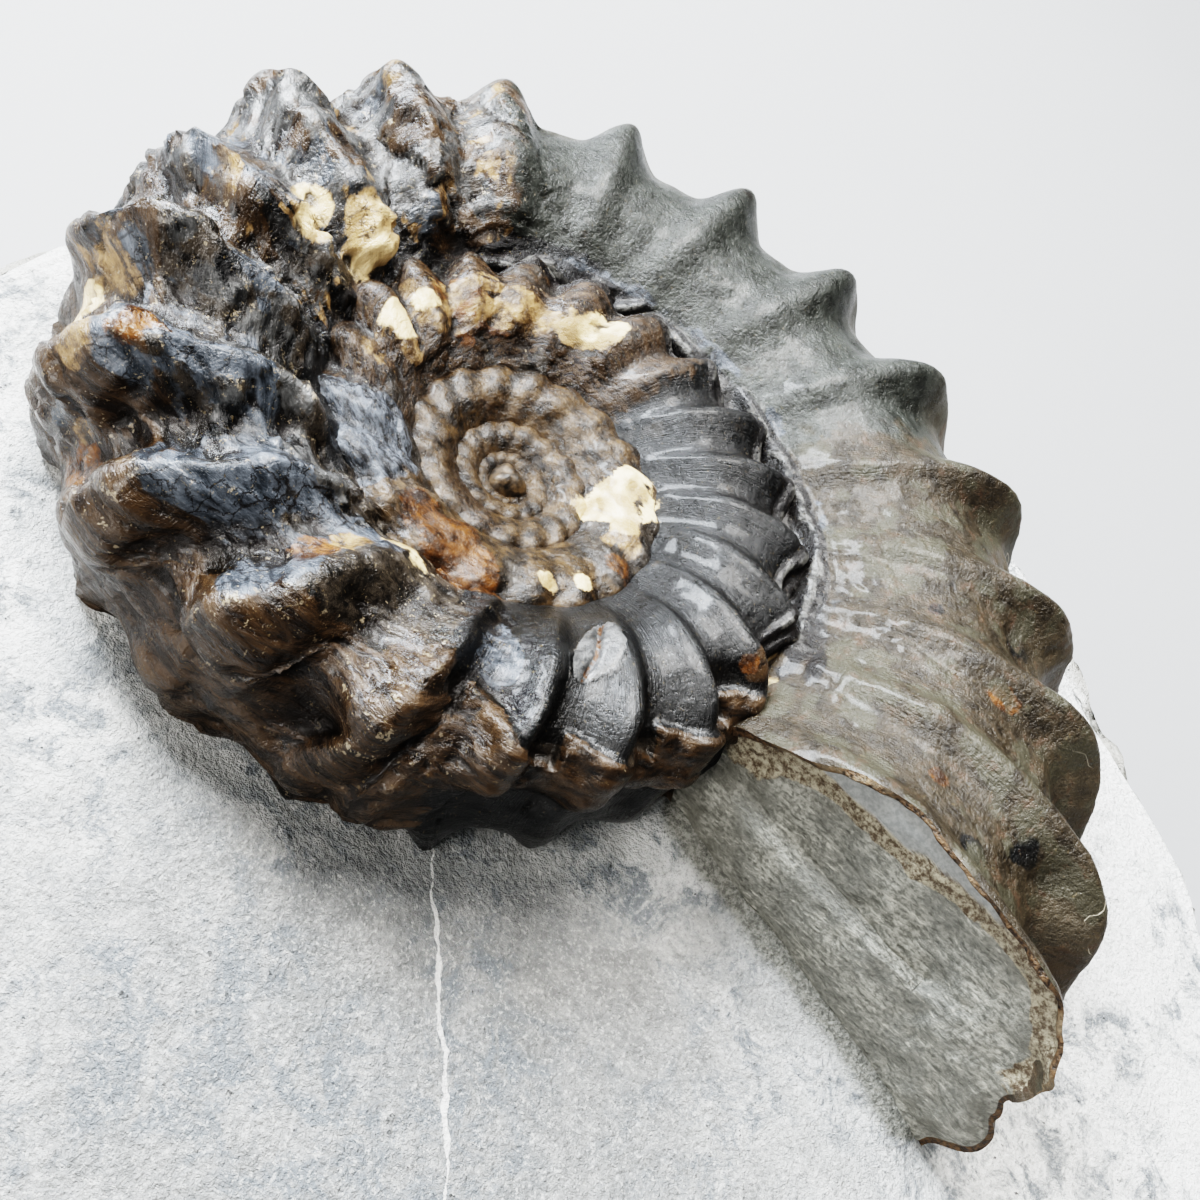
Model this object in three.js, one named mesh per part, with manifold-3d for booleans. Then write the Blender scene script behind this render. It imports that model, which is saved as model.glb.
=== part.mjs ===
// A strongly ribbed, loosely coiled ammonite lying half buried in the top of a
// loose block of limestone. The coil axis is vertical and the block sits on its
// flat underside. The shell is filled with stone right up to its broken mouth.
import * as THREE from 'three';
import { mergeVertices } from 'three/addons/utils/BufferGeometryUtils.js';
import Module from 'manifold-3d';

const wasm = await Module();
wasm.setup();

// Driving dimensions: millimetres and degrees unless a note says otherwise.
const COIL_RADIUS = 42.9; // coil axis to rib tip at the first rib behind the mouth
const SHRINK = 0.1; // loss of coil radius per radian of winding, as a share
const FLARE = 0.1; // extra width the last quarter turn opens out by, as a share
const TURNS = 4.4; // whorls that can be made out down to the first chamber
const BREADTH_GAIN = 0.2; // older whorls are this much fatter than the last one
const RIB_GAP = 16; // winding angle between the first ribs
const RIB_LEAN = 9; // how far a rib's inner end trails its tip
const KEEL_LEAN = 5; // how far a rib sweeps forward over the outer edge
const ROCK_LEVEL = -3.9; // rock surface below the middle plane of the coil
const BURIED = 2.6; // depth the shell carries on below the rock surface
const FILLED_RADIUS = 18; // stone between the whorls on the buried side reaches this far out
const BLOCK_DEPTH = 28; // rock surface down to the underside
const GAP = 0.3; // clearance between the shell and its bed
const SHELL_WALL = 1.1; // shell thickness at the mouth
const MOUTH_STEP = 0.4; // how far the stone fill lies behind the broken edge of the shell
const KNOB_REACH = 0.03; // extra height of the knobs on the older half whorl

const DEG = Math.PI / 180;
const END = TURNS * 2 * Math.PI;

// Half cross-sections of a whorl, outer edge to inner edge, as [distance from
// the coil axis, height above the middle plane] over the coil radius.
const CREST = [
  [1.03, 0], [1.022, 0.075], [1.0, 0.145], [0.972, 0.212], [0.905, 0.262], [0.79, 0.272],
  [0.67, 0.255], [0.585, 0.215], [0.53, 0.17], [0.475, 0.122], [0.44, 0.065], [0.43, 0],
];
const VALLEY = [
  [1.0, 0], [0.985, 0.065], [0.95, 0.128], [0.905, 0.18], [0.85, 0.215], [0.765, 0.234],
  [0.668, 0.226], [0.592, 0.194], [0.533, 0.158], [0.475, 0.116], [0.44, 0.062], [0.43, 0],
];
const TIP = 0.29; // share of the half section at which a rib tip stands

// Knobs left standing and hollows worn between them on the older half of the last
// whorl: winding angle, place on the half section, radius and height.
const LUMPS = [
  [228, 0.2, 3.2, 1.3], [247, 0.12, 3.4, 1.5], [268, 0.17, 3.7, 2.1], [288, 0.07, 3.7, 1.9],
  [238, 0.18, 2.4, -1.3], [258, 0.1, 2.4, -1.8], [277.5, 0.12, 2.2, -2.8], [299, 0.06, 2.2, -1.5],
];

// Corners of the block seen from above, from the coil axis. The third number
// is how far the foot of the block stands in from its rim at that corner.
const CORNERS = [
  [-31.5, -2, 2], [-34, -22, 1.5], [-17, -40, 4], [4, -52.5, 3], [25, -49, 0.5], [47, -33, 2.5],
  [66, -15.5, 3.5], [70.5, 1, 5], [65.5, 15.5, 2], [57, 24.5, 0], [45.5, 31, 0.5], [28, 42.5, 2.5],
  [3, 45.5, 4.5], [-19, 33, 1], [-31, 13, -0.5],
];
const BLOCK_CENTRE = [18, -3.5];
const EDGE_PARTS = 4; // steps along each edge between two corners

function smooth(low, high, x) {
  const t = Math.min(Math.max((x - low) / (high - low), 0), 1);
  return t * t * (3 - 2 * t);
}

function coilRadius(angle) {
  return COIL_RADIUS * Math.exp(-SHRINK * angle - FLARE * (1 - Math.exp(-angle)));
}

// 1 from start to end, fading to 0 over the soft length outside.
function between(x, start, end, soft) {
  return smooth(start - soft, start, x) * (1 - smooth(end, end + soft, x));
}

// How far the ribs behind the mouth stand nearer to it than even spacing.
function ahead(turn) {
  return 4.5 * smooth(-12, 34, turn) - 2.3 * smooth(75, 95, turn) - 2.2 * smooth(120, 142, turn);
}

// Winding angle of every rib: the gap widens round the last whorl, closes again
// where the one before it begins, and then widens slowly to the middle.
function ribAngles() {
  const list = [-3 * RIB_GAP, -2 * RIB_GAP, -RIB_GAP];
  let angle = 0;
  while (angle < (TURNS + 0.2) * 360) {
    list.push(angle);
    const older = smooth(255, 300, angle);
    const widening = 0.0135 * angle * (1 - older) + 0.5 * older;
    angle += RIB_GAP + widening + 0.006 * Math.max(angle - 320, 0);
  }
  return list.map((value) => (value - ahead(value)) * DEG);
}
const RIBS = ribAngles();
const FIRST = 2; // the mouth is broken off along this rib
const MOUTH = RIBS[FIRST];

function ribAt(index) {
  const whole = Math.min(Math.floor(index), RIBS.length - 2);
  return RIBS[whole] + (RIBS[whole + 1] - RIBS[whole]) * (index - whole);
}

function ribIndex(angle) {
  let whole = 0;
  while (whole < RIBS.length - 2 && RIBS[whole + 1] <= angle) whole += 1;
  return whole + (angle - RIBS[whole]) / (RIBS[whole + 1] - RIBS[whole]);
}

// Smooth curve through a half section; s runs from 0 at the outer edge to 1 at
// the inner edge, and below zero on the under side.
function along(points, s) {
  const last = points.length - 1;
  const at = (i) => {
    if (i < 0) return [points[-i][0], -points[-i][1]];
    if (i > last) return [points[2 * last - i][0], -points[2 * last - i][1]];
    return points[i];
  };
  const place = Math.abs(s) * last;
  const i = Math.min(Math.floor(place), last - 1);
  const t = place - i;
  const mix = (k) => {
    const [a, b, c, d] = [at(i - 1)[k], at(i)[k], at(i + 1)[k], at(i + 2)[k]];
    const cubic = (-a + 3 * b - 3 * c + d) * t * t * t;
    return 0.5 * (2 * b + (c - a) * t + (2 * a - 5 * b + 4 * c - d) * t * t + cubic);
  };
  return [mix(0), s < 0 ? -mix(1) : mix(1)];
}

// How far a rib trails its tip; it trails least on the last half whorl.
function lean(turn, s) {
  const a = Math.abs(s);
  const inner = RIB_LEAN * (0.3 + 0.7 * smooth(200, 260, turn));
  if (a > TIP) return (inner * (a - TIP)) / (0.7 - TIP);
  return (-KEEL_LEAN * (TIP - a)) / TIP;
}

// How much of a rib stands at a place: 1 on its crest, 0 in the furrow. The ribs
// are sharp with deep furrows some way behind the mouth, boldest on the older half
// of the last whorl and low towards the middle.
function ribbing(angle, s) {
  const turn = angle / DEG;
  const phase = 2 * Math.PI * ribIndex(angle - lean(turn, s) * DEG);
  const narrow = 0.5 * (1 - smooth(35, 75, turn));
  const wave = 0.5 + 0.5 * Math.cos(phase + narrow * Math.sin(phase));
  const sharp = between(turn, 45, 118, 18) - 0.5 * smooth(122, 165, turn);
  const broad = 1.45 + sharp - 0.15 * smooth(230, 350, turn);
  const middle = smooth(560, 640, turn);
  const bold = 0.3 * between(turn, 200, 290, 20);
  const deep = 0.2 * between(turn, 45, 170, 18);
  const weight = wave ** broad * (1 - 0.4 * middle + bold + deep) - 0.4 * bold - deep + 0.15 * middle;
  const faint = 0.55 * between(turn, 20, 125, 20) * smooth(0.4, 0.56, Math.abs(s));
  return weight + (0.4 - weight) * faint;
}

// Knobs stand out and the hollows between them sink in near the mouth and on the
// older half of the last whorl; between the two the rib tips are lower.
function knob(angle, s) {
  const turn = angle / DEG;
  const where = 1.2 - 1.6 * smooth(10, 45, turn) + 1.4 * smooth(150, 215, turn) - smooth(285, 305, turn);
  return KNOB_REACH * where * Math.exp(-(((s - 0.2) / 0.16) ** 2));
}

function lump(turn, s, radius) {
  return LUMPS.reduce((sum, [atTurn, atS, size, height]) => {
    const around = (turn - atTurn) * DEG * radius;
    const across = (s - atS) * 0.9 * radius;
    return sum + height * Math.exp(-(around ** 2 + across ** 2) / size ** 2);
  }, 0);
}

// Point of the shell surface. A positive grow swells the whorl, a negative one
// shrinks it, both in millimetres.
function shellPoint(angle, s, grow = 0) {
  const radius = coilRadius(angle);
  const w = ribbing(angle, s);
  const [cr, cz] = along(CREST, s);
  const [vr, vz] = along(VALLEY, s);
  const fat = 1 + BREADTH_GAIN * smooth(60, 250, angle / DEG);
  const middle = 0.75 * radius;
  const scale = 1 + (grow + lump(angle / DEG, s, radius)) / (0.235 * radius);
  const reach = vr + (cr - vr) * w + knob(angle, s) * (w - 0.4);
  const r = middle + (reach * radius - middle) * scale;
  const z = (vz + (cz - vz) * w) * radius * fat * scale;
  return [r * Math.cos(angle), r * Math.sin(angle), z];
}

function solid(points, faces) {
  const mesh = new wasm.Mesh({
    numProp: 3,
    vertProperties: new Float32Array(points.flat()),
    triVerts: new Uint32Array(faces.flat()),
  });
  return new wasm.Manifold(mesh);
}

// Closed piece of whorl through rings of section points.
function tube(rings) {
  const around = rings[0].length;
  const points = rings.flat();
  const faces = [];
  for (let i = 0; i < rings.length - 1; i += 1) {
    for (let j = 0; j < around; j += 1) {
      const k = (j + 1) % around;
      const [a, b, c, d] = [i * around + j, i * around + k, (i + 1) * around + k, (i + 1) * around + j];
      faces.push([a, d, c], [a, c, b]);
    }
  }
  for (const ring of [0, rings.length - 1]) {
    const centre = [0, 1, 2].map((n) => rings[ring].reduce((sum, p) => sum + p[n], 0) / around);
    points.push(centre);
    const hub = points.length - 1;
    for (let j = 0; j < around; j += 1) {
      const a = ring * around + j;
      const b = ring * around + ((j + 1) % around);
      faces.push(ring === 0 ? [hub, a, b] : [hub, b, a]);
    }
  }
  return solid(points, faces);
}

// Section stations: close together over the rib tips, wide on the buried side.
const STATIONS = {
  outer: [-0.55, -0.19, 0, 0.1, 0.19, 0.29, 0.38, 0.49, 0.6, 0.71, 0.82, 1],
  middle: [-0.5, 0, 0.15, 0.29, 0.42, 0.56, 0.7, 0.84, 1],
  inner: [-0.45, 0, 0.17, 0.33, 0.5, 0.66, 0.83, 1],
  heart: [-0.45, 0, 0.28, 0.52, 0.76, 1],
};

// The coil is wound in arcs that never close on themselves. Each arc runs over
// whole ribs: [first rib, last rib, rings per rib, stations].
const LAST = Math.floor(ribIndex(END));
const ARCS = [
  [FIRST, 13, 4, STATIONS.outer],
  [13, 20, 4, STATIONS.outer],
  [20, 32, 4, STATIONS.middle],
  [32, 41, 3, STATIONS.middle],
  [41, 53, 2, STATIONS.inner],
  [53, 63, 2, STATIONS.inner],
  [63, LAST, 2, STATIONS.heart],
];

function arc(from, to, perRib, stations, grow, lead) {
  const steps = Math.max(1, Math.round((to - from) * perRib));
  const rings = [];
  for (let i = 0; i <= steps; i += 1) {
    let angle = ribAt(from + ((to - from) * i) / steps);
    if (i === 0) angle -= lead / coilRadius(angle);
    rings.push(stations.map((s) => shellPoint(angle, s, grow)));
  }
  return tube(rings);
}

// Booleans can leave slivers of no volume behind; the body is the largest piece.
function largest(body) {
  return body.decompose().reduce((best, piece) => (piece.volume() > best.volume() ? piece : best));
}

// All the whorls, with the first chamber in the middle and the stone that fills
// the spaces between the whorls on the buried side.
function coil(grow) {
  const heart = new THREE.SphereGeometry(coilRadius(END) * 0.8, 8, 5);
  let body = fromGeometry(heart.rotateX(Math.PI / 2).scale(1, 1, 0.5));
  const depth = BURIED - ROCK_LEVEL + 1;
  const filling = new THREE.CylinderGeometry(FILLED_RADIUS, FILLED_RADIUS, depth, 20);
  body = body.add(fromGeometry(filling.rotateX(Math.PI / 2).translate(0, 0, -depth / 2)));
  ARCS.forEach(([from, to, perRib, stations], index) => {
    body = body.add(arc(from, to, perRib, stations, grow, index === 0 ? grow : 0));
  });
  return body.trimByPlane([0, 0, 1], ROCK_LEVEL - BURIED - grow);
}

function fromGeometry(geometry) {
  geometry.deleteAttribute('normal');
  geometry.deleteAttribute('uv');
  const welded = mergeVertices(geometry, 1e-4);
  const mesh = new wasm.Mesh({
    numProp: 3,
    vertProperties: new Float32Array(welded.attributes.position.array),
    triVerts: new Uint32Array(welded.index.array),
  });
  return new wasm.Manifold(mesh);
}

// Thin slab across the mouth inside the shell wall, cut out so that the broken
// edge of the shell stands proud of the stone that fills it.
function mouthStep() {
  const angles = [MOUTH - 1 / COIL_RADIUS, MOUTH + MOUTH_STEP / COIL_RADIUS];
  return tube(angles.map((angle) => STATIONS.outer.map((s) => shellPoint(angle, s, -SHELL_WALL))));
}

// Height of the rock surface: gently uneven, with a dip beside the mouth.
function rockTop(x, y) {
  const swell = 0.5 * Math.sin(x / 17 + 0.6) * Math.cos(y / 15) + 0.25 * Math.sin((x + 1.7 * y) / 9);
  const dip = 2.2 * Math.exp(-((x - 21) ** 2 + (y + 13) ** 2) / 130);
  const fall = 0.0016 * Math.max(0, -x - y - 20) ** 2;
  return ROCK_LEVEL + swell - dip - fall;
}

// Uneven breakage along the edges, within about one either way.
function chip(a, k) {
  return 0.5 * Math.sin(7 * a + k) + 0.35 * Math.sin(13 * a + 2.1 * k) + 0.2 * Math.sin(29 * a + k * k);
}

// Plan of the block, in from the rim by a share, at a height between rim (0)
// and foot (1): straight broken edges between the corners.
function plan(share, height, bulge) {
  const [cx, cy] = BLOCK_CENTRE;
  const corners = CORNERS.map(([x, y, foot], i) => {
    const reach = Math.hypot(x - cx, y - cy);
    const out = (share * reach - foot * height + bulge * (0.6 + chip(i, 1))) / reach;
    return [cx + (x - cx) * out, cy + (y - cy) * out];
  });
  const points = [];
  corners.forEach(([x0, y0], i) => {
    const [x1, y1] = corners[(i + 1) % corners.length];
    for (let j = 0; j < EDGE_PARTS; j += 1) {
      const t = j / EDGE_PARTS;
      points.push([x0 + (x1 - x0) * t, y0 + (y1 - y0) * t]);
    }
  });
  return points;
}

// The block: an uneven top with a crumbled rim, broken sides with a ledge, and
// a flat underside.
function rockBlock() {
  const base = ROCK_LEVEL - BLOCK_DEPTH;
  const [cx, cy] = BLOCK_CENTRE;
  // Share of the plan, height between top and underside, bulge, chipping.
  const rings = [
    [0.4, 0, 0, 0], [0.7, 0, 0, 0], [0.88, 0, 0, 0], [0.965, 0.01, 0, 0.5], [1, 0.06, 0.3, 1.1],
    [1, 0.27, 1.2, 1.6], [1, 0.47, 1.8, 1.4], [1, 0.6, 0.5, 1.8], [1, 0.82, 0.3, 1.3], [0.985, 1, 0, 0.5],
  ];
  const points = [[cx, cy, rockTop(cx, cy)]];
  rings.forEach(([share, height, bulge, chipping], ring) => {
    plan(share, height, bulge).forEach(([px, py]) => {
      const a = Math.atan2(py - cy, px - cx);
      const inward = (chipping * (chip(a, 1.7 * ring) - 1)) / Math.hypot(px - cx, py - cy);
      const [x, y] = [px + (px - cx) * inward, py + (py - cy) * inward];
      const uneven = height < 1 ? 0.04 * chipping * chip(0.6 * a, 2 * ring) : 0;
      const crown = rockTop(x, y);
      points.push([x, y, crown + (base - crown) * (height + uneven)]);
    });
  });
  points.push([cx, cy, base]);
  const around = CORNERS.length * EDGE_PARTS;
  const under = points.length - 1;
  const faces = [];
  for (let j = 0; j < around; j += 1) {
    const k = (j + 1) % around;
    faces.push([0, 1 + j, 1 + k]);
    for (let i = 0; i < rings.length - 1; i += 1) {
      const [a, b] = [1 + i * around + j, 1 + i * around + k];
      faces.push([a, a + around, b + around], [a, b + around, b]);
    }
    const last = 1 + (rings.length - 1) * around;
    faces.push([under, last + k, last + j]);
  }
  return solid(points, faces);
}

function buildShell() {
  return largest(coil(0).subtract(mouthStep()));
}

function buildRock() {
  return largest(rockBlock().subtract(coil(GAP)));
}

function toMesh(name, body, material, shift) {
  const mesh = body.getMesh();
  const geometry = new THREE.BufferGeometry();
  geometry.setAttribute('position', new THREE.BufferAttribute(new Float32Array(mesh.vertProperties), 3));
  geometry.setIndex(new THREE.BufferAttribute(new Uint32Array(mesh.triVerts), 1));
  geometry.translate(...shift);
  geometry.computeVertexNormals();
  const node = new THREE.Mesh(geometry, material);
  node.name = name;
  return node;
}

const shell = buildShell();
const rock = buildRock();

// The origin is the middle of the underside of everything together.
const box = shell.add(rock).boundingBox();
const shift = [-(box.min[0] + box.max[0]) / 2, -(box.min[1] + box.max[1]) / 2, -box.min[2]];

const shellStone = new THREE.MeshStandardMaterial({ color: 0x4a4038, roughness: 0.28, metalness: 0 });
const limestone = new THREE.MeshStandardMaterial({ color: 0xb9b8b3, roughness: 0.9, metalness: 0 });

const group = new THREE.Group();
group.add(toMesh('ammonite', shell, shellStone, shift));
group.add(toMesh('matrix', rock, limestone, shift));

export default group;
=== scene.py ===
"""A lacquered fossil ammonite standing out of a pale limestone block.

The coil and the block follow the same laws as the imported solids, at a much finer
step, and carry the broken, crusted and flaked surface of the real fossil. Lengths
are millimetres in the coil's own frame until a mesh is made; angles are degrees.
"""
import math

import bpy
import numpy as np
from mathutils import Matrix, Vector


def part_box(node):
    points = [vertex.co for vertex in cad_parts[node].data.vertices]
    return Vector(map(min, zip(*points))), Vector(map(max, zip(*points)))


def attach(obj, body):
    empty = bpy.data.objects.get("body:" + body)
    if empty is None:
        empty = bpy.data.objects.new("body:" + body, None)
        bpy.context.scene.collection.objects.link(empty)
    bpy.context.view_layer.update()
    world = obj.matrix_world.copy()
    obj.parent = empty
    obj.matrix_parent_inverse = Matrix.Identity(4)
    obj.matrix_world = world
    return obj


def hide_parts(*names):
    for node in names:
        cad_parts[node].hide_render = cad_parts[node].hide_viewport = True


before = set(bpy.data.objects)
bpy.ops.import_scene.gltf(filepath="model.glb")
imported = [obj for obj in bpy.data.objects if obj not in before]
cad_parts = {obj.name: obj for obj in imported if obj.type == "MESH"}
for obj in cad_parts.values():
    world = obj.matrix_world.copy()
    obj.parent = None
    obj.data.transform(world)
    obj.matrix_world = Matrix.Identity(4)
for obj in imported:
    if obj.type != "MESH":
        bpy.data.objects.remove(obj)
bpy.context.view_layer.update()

MM = 0.001

# Driving dimensions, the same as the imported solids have.
COIL_RADIUS = 42.9  # of the outer edge, at the first rib behind the mouth
SHRINK = 0.1  # of that radius with each radian
FLARE = 0.1  # further share that it loses just behind the mouth
TURNS = 4.4
BREADTH_GAIN = 0.2  # share by which the older part of the whorl is fatter
RIB_GAP = 16
RIB_LEAN = 9
KEEL_LEAN = 5
KNOB_REACH = 0.03  # share of the radius
TIP = 0.29  # s where a rib reaches farthest towards the mouth
ROCK_LEVEL = -3.9
BURIED = 2.6
BLOCK_DEPTH = 28
COIL_END = (TURNS + 0.9) * 360  # winding angle of the first chamber
RIBS_END = (TURNS + 1.2) * 360
OLDER_WHORLS = 352  # winding angle where the last whorl closes and the older ones begin
PARTING = 516  # winding angle where the mesh of the outer whorls ends
# Half sections of the whorl on a rib and in a furrow, from the outer to the inner edge:
# distance from the axis and height over the middle plane, as shares of the radius.
CREST = np.array([
    [1.03, 0], [1.022, 0.075], [1.0, 0.145], [0.972, 0.212], [0.905, 0.262], [0.79, 0.272],
    [0.67, 0.255], [0.585, 0.215], [0.53, 0.17], [0.475, 0.122], [0.44, 0.065], [0.43, 0],
])
VALLEY = np.array([
    [1.0, 0], [0.985, 0.065], [0.95, 0.128], [0.905, 0.18], [0.85, 0.215], [0.765, 0.234],
    [0.668, 0.226], [0.592, 0.194], [0.533, 0.158], [0.475, 0.116], [0.44, 0.062], [0.43, 0],
])
# Corners of the block: x, y and how far the side draws in towards the foot.
CORNERS = np.array([
    [-31.5, -2, 2], [-34, -22, 1.5], [-17, -40, 4], [4, -52.5, 3], [25, -49, 0.5], [47, -33, 2.5],
    [66, -15.5, 3.5], [70.5, 1, 5], [65.5, 15.5, 2], [57, 24.5, 0], [45.5, 31, 0.5],
    [28, 42.5, 2.5], [3, 45.5, 4.5], [-19, 33, 1], [-31, 13, -0.5],
])
BLOCK_CENTRE = (18, -3.5)
# Rings of the block: share of the plan, height from rim to foot, bulge, chipping.
BLOCK_RINGS = np.array([
    [0.4, 0, 0, 0], [0.7, 0, 0, 0], [0.88, 0, 0, 0], [0.965, 0.01, 0, 0.5], [1, 0.06, 0.3, 1.1],
    [1, 0.27, 1.2, 1.6], [1, 0.47, 1.8, 1.4], [1, 0.6, 0.5, 1.8], [1, 0.82, 0.3, 1.3],
    [0.985, 1, 0, 0.5],
])
TOP_STEPS = 96  # rings of the mesh from the middle of the block's top to its rim
SIDE_STEPS = 62
CORNER_STEPS = 30  # points of a ring from one corner to the next


# --- Noise ---

def hashed(i, j, k, seed):
    """A repeatable number from 0 to 1 for each whole-number point."""
    h = i.astype(np.uint32) * np.uint32(0x8DA6B343)
    h ^= j.astype(np.uint32) * np.uint32(0xD8163841)
    h ^= k.astype(np.uint32) * np.uint32(0xCB1AB31F)
    h ^= np.uint32((seed * 0x165667B1) & 0xFFFFFFFF)
    h ^= h >> np.uint32(13)
    h *= np.uint32(0x5BD1E995)
    h ^= h >> np.uint32(15)
    h *= np.uint32(0x27D4EB2F)
    h ^= h >> np.uint32(16)
    return h / 2**32


def lumps(points, size, seed):
    """Smooth noise from -1 to 1, with lumps of about the given size."""
    place = points / size + 1000
    cell = np.floor(place).astype(np.int64)
    t = place - cell
    t = t * t * t * (t * (t * 6 - 15) + 10)
    total = 0
    for di in (0, 1):
        for dj in (0, 1):
            for dk in (0, 1):
                weight = (t[..., 0] if di else 1 - t[..., 0]) * (t[..., 1] if dj else 1 - t[..., 1])
                weight = weight * (t[..., 2] if dk else 1 - t[..., 2])
                corner = (cell[..., 0] + di, cell[..., 1] + dj, cell[..., 2] + dk)
                total = total + weight * hashed(*corner, seed)
    return 2 * total - 1


def fractal(points, size, seed, octaves=3):
    """Lumps laid over each other, each time half as large and half as high."""
    total = 0
    for n in range(octaves):
        total = total + 0.5**n * lumps(points, size / 2.07**n, seed + 17 * n)
    return total


def creased(points, size, seed):
    """Noise from 0 to 1 with sharp crests."""
    return 1 - np.abs(lumps(points, size, seed)) * 2


def smooth(low, high, x):
    """Runs softly from 0 to 1 while x runs from low to high."""
    t = np.clip((x - low) / (high - low), 0, 1)
    return t * t * (3 - 2 * t)


def window(x, start, end, soft):
    """1 from start to end, fading to 0 over the soft length outside."""
    return smooth(-soft, 0, x - start) * (1 - smooth(0, soft, x - end))


# --- The coil ---

def coil_radius(turn):
    """Distance from the axis to the outer edge at a winding angle."""
    angle = np.radians(turn)
    return COIL_RADIUS * np.exp(-SHRINK * angle - FLARE * (1 - np.exp(-angle)))


def ahead(turn):
    """Degrees by which the ribs behind the mouth stand nearer to it than even spacing."""
    return 4.5 * smooth(-12, 34, turn) - 2.3 * smooth(75, 95, turn) - 2.2 * smooth(120, 142, turn)


def rib_angles():
    """Winding angle of each rib, from the mouth inwards; the fourth is at 0."""
    ribs = [-3.0 * RIB_GAP, -2.0 * RIB_GAP, -1.0 * RIB_GAP]
    turn = 0.0
    while turn < RIBS_END:
        ribs.append(turn)
        older = float(smooth(255, 300, turn))
        widening = 0.0135 * turn * (1 - older) + 0.5 * older
        turn += RIB_GAP + widening + 0.006 * max(turn - 320, 0)
    ribs = np.array(ribs)
    return ribs - ahead(ribs)


RIBS = rib_angles()
MOUTH = RIBS[2]


def rib_index(turn):
    """0 on the first rib behind the mouth, 1 on the next, and so on."""
    return np.interp(turn, RIBS, np.arange(len(RIBS)) - 3.0)


def along(points, s):
    """Smooth curve through a half section; s is 0 at the outer and 1 at the inner edge."""
    last = len(points) - 1
    place = np.abs(s) * last
    first = np.clip(place.astype(int), 0, last - 1)
    t = place - first

    def at(index):
        over = index > last
        under = index < 0
        real = np.where(over, 2 * last - index, np.abs(index))
        side = np.where(over | under, -1, 1)
        return points[real, 0], points[real, 1] * side

    rows = [at(first + step) for step in (-1, 0, 1, 2)]
    mixed = []
    for axis in (0, 1):
        a, b, c, d = (row[axis] for row in rows)
        cubic = (-a + 3 * b - 3 * c + d) * t**3
        mixed.append(0.5 * (2 * b + (c - a) * t + (2 * a - 5 * b + 4 * c - d) * t * t + cubic))
    return mixed[0], np.where(s < 0, -mixed[1], mixed[1])


def lean(turn, s):
    """Degrees that a rib runs back from the mouth on its way in to the seam."""
    a = np.abs(s)
    inner = RIB_LEAN * (0.3 + 0.7 * smooth(200, 260, turn))
    return np.where(a > TIP, inner * (a - TIP) / (0.7 - TIP), -KEEL_LEAN * (TIP - a) / TIP)


def ribbing(turn, s):
    """1 on the crest of a rib, 0 in the furrow; no two ribs are quite alike."""
    t = rib_index(turn - lean(turn, s))
    t = t + 0.025 * np.sin(2.1 * t + 5 * s) + 0.02 * np.sin(11 * s + 1.7 * np.round(t))
    shingled = 0.5 * (1 - smooth(35, 75, turn)) + 0.3 * window(turn, 200, 300, 20)
    t = t - 0.05 * window(turn, 290, 430, 20) * (1 + np.cos(2 * np.pi * t))
    wave = 0.5 + 0.5 * np.cos(2 * np.pi * t + shingled * np.sin(2 * np.pi * t))
    broad = 1.45 + window(turn, 45, 118, 18) - 0.5 * smooth(122, 165, turn)
    broad = broad - 0.15 * smooth(230, 350, turn) + 0.4 * window(turn, 290, 430, 20)
    own = (1 + 0.06 * np.sin(5.3 * np.round(t))) * (1 - 0.5 * smooth(560, 640, turn))
    bold = 0.3 * window(turn, 200, 290, 20)
    deep = 0.2 * window(turn, 45, 170, 18)
    weight = wave**broad * (own + bold + deep) - 0.4 * bold - deep + 0.15 * smooth(560, 640, turn)
    faint = 0.55 * window(turn, 20, 125, 20) * smooth(0.4, 0.56, np.abs(s))
    return weight + (0.4 - weight) * faint


def knob(turn, s):
    """How far the knobs near the outer edge stand out, as a share of the radius."""
    where = 1.2 - 1.6 * smooth(10, 45, turn) + 1.4 * smooth(150, 215, turn)
    where = where - smooth(285, 305, turn)
    return KNOB_REACH * where * np.exp(-(((s - 0.2) / 0.16) ** 2))


def plain_shell(turn, s):
    """Points of the shell before any damage."""
    radius = coil_radius(turn)
    w = ribbing(turn, s)
    crest_r, crest_z = along(CREST, s)
    valley_r, valley_z = along(VALLEY, s)
    fat = 1 + BREADTH_GAIN * smooth(60, 250, turn)
    r = (valley_r + (crest_r - valley_r) * w + knob(turn, s) * (w - 0.4)) * radius
    ridge = 0.024 * window(turn, 155, 235, 20) * window(np.abs(s), 0.4, 0.7, 0.12)
    z = (valley_z + (crest_z - valley_z) * w + np.sign(s) * ridge * (w - 0.5)) * radius * fat
    angle = np.radians(turn)
    return np.stack([r * np.cos(angle), r * np.sin(angle), z], -1)


def grid_normals(points):
    """Unit normals of a grid of points whose second direction runs round closed rings."""
    down = np.gradient(points, axis=0)
    across = np.roll(points, -1, 1) - np.roll(points, 1, 1)
    normal = np.cross(down, across)
    return normal / np.maximum(np.linalg.norm(normal, axis=-1, keepdims=True), 1e-9)


def bulging(points, normals, reach):
    """About +1 on an edge and -1 in a hollow, felt over the given number of grid steps."""
    rings = np.pad(points, ((reach, reach), (0, 0), (0, 0)), mode="edge")
    before, behind = rings[: -2 * reach], rings[2 * reach :]
    left, right = np.roll(points, reach, 1), np.roll(points, -reach, 1)
    middle = (before + behind + (left + right)) / 4
    width = np.linalg.norm(behind - before, axis=-1) / 2
    width = width + np.linalg.norm(right - left, axis=-1) / 2
    drop = ((points - middle) * normals).sum(-1)
    return np.clip(3 * drop / np.maximum(width, 0.02), -1, 1)


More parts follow.
